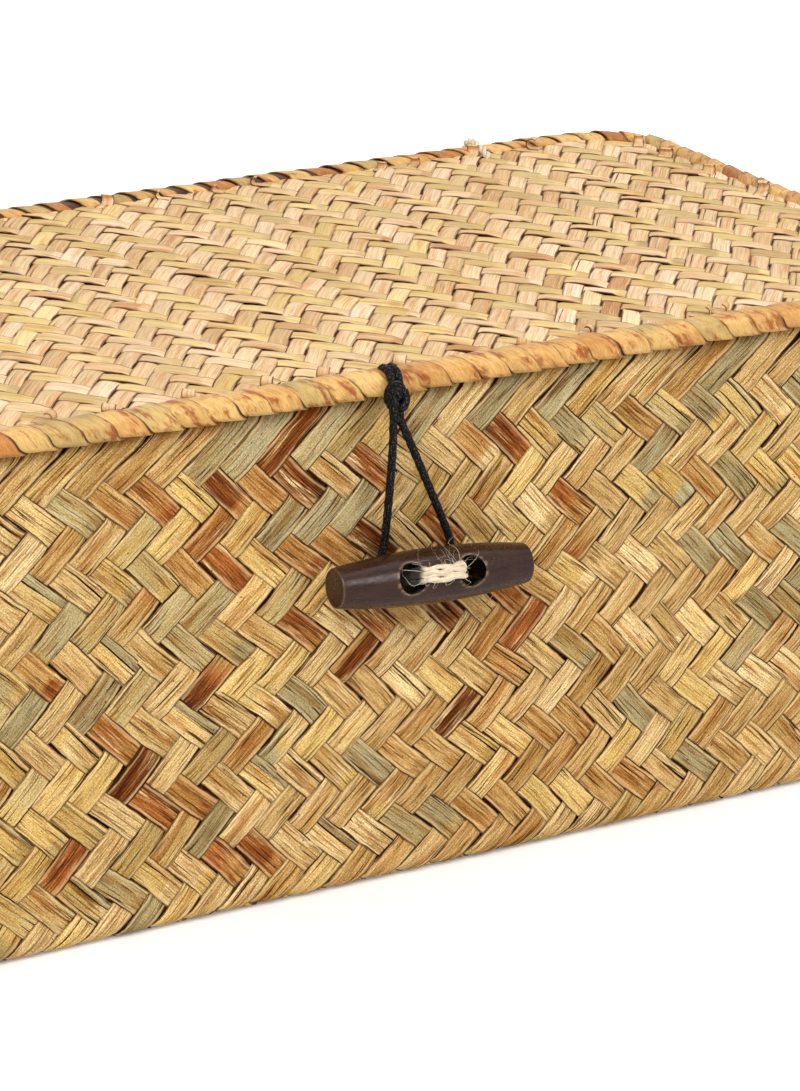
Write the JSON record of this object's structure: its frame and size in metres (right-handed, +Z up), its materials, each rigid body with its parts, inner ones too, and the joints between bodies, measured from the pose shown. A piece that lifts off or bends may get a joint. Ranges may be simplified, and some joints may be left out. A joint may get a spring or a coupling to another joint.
{
  "type": "woven lidded box",
  "caption": "Low rectangular box of diagonally plaited grass strips with a spiral-bound hinged lid, shut by an elastic loop over a wooden toggle; keeps small things together.",
  "frame": {"origin": "middle of the flat base, on the surface that the box stands on", "axes": "+X along the length to the right as seen from the front, +Y from the toggle front to the hinged back, +Z up"},
  "size_m": [0.27, 0.1557, 0.1079],
  "materials": {
    "grass_wall": "dry plaited seagrass strips, tan with olive, straw and rust strips",
    "grass_lining": "dry plaited seagrass strips, plain straw",
    "grass_lid": "dry plaited seagrass strips, pale straw",
    "rim_binding": "golden grass strip with a slight gloss",
    "cane": "bare split cane",
    "toggle_wood": "dark stained wood, satin, worn at the hole edges",
    "twine": "loosely spun cream twine with loose fibres",
    "elastic": "black braided elastic cord"
  },
  "bodies": {
    "box": {"body_shell": "grass_wall", "body_lining": "grass_lining", "hinge_tie_left": "twine", "hinge_tie_right": "twine", "twine_knot": "twine"},
    "lid": {"lid_top_mat": "grass_lid", "lid_under_mat": "grass_lining", "lid_rim_cane": "cane", "lid_rim_binding": "rim_binding", "elastic_anchor": "elastic", "elastic_knot": "elastic"},
    "toggle": {"toggle": "toggle_wood", "toggle_twine": "twine"},
    "loop": {"elastic_loop": "elastic"}
  },
  "joints": [
    {"name": "lid_hinge", "type": "hinge", "parent": "box", "child": "lid", "pos_m": [0, 0.071, 0.10015], "axis": [-1, 0, 0], "range_deg": [0, 110], "deforming": ["hinge_tie_left", "hinge_tie_right"]},
    {"name": "toggle_turn", "type": "hinge", "parent": "box", "child": "toggle", "pos_m": [0.0012, -0.075, 0.065], "axis": [0, 1, 0], "range_deg": [-35, 35], "deforming": ["toggle_twine"]},
    {"name": "loop_swing", "type": "hinge", "parent": "lid", "child": "loop", "pos_m": [-0.006, -0.0733, 0.0962], "axis": [-1, 0, 0], "range_deg": [0, 120], "deforming": ["elastic_loop"]}
  ]
}
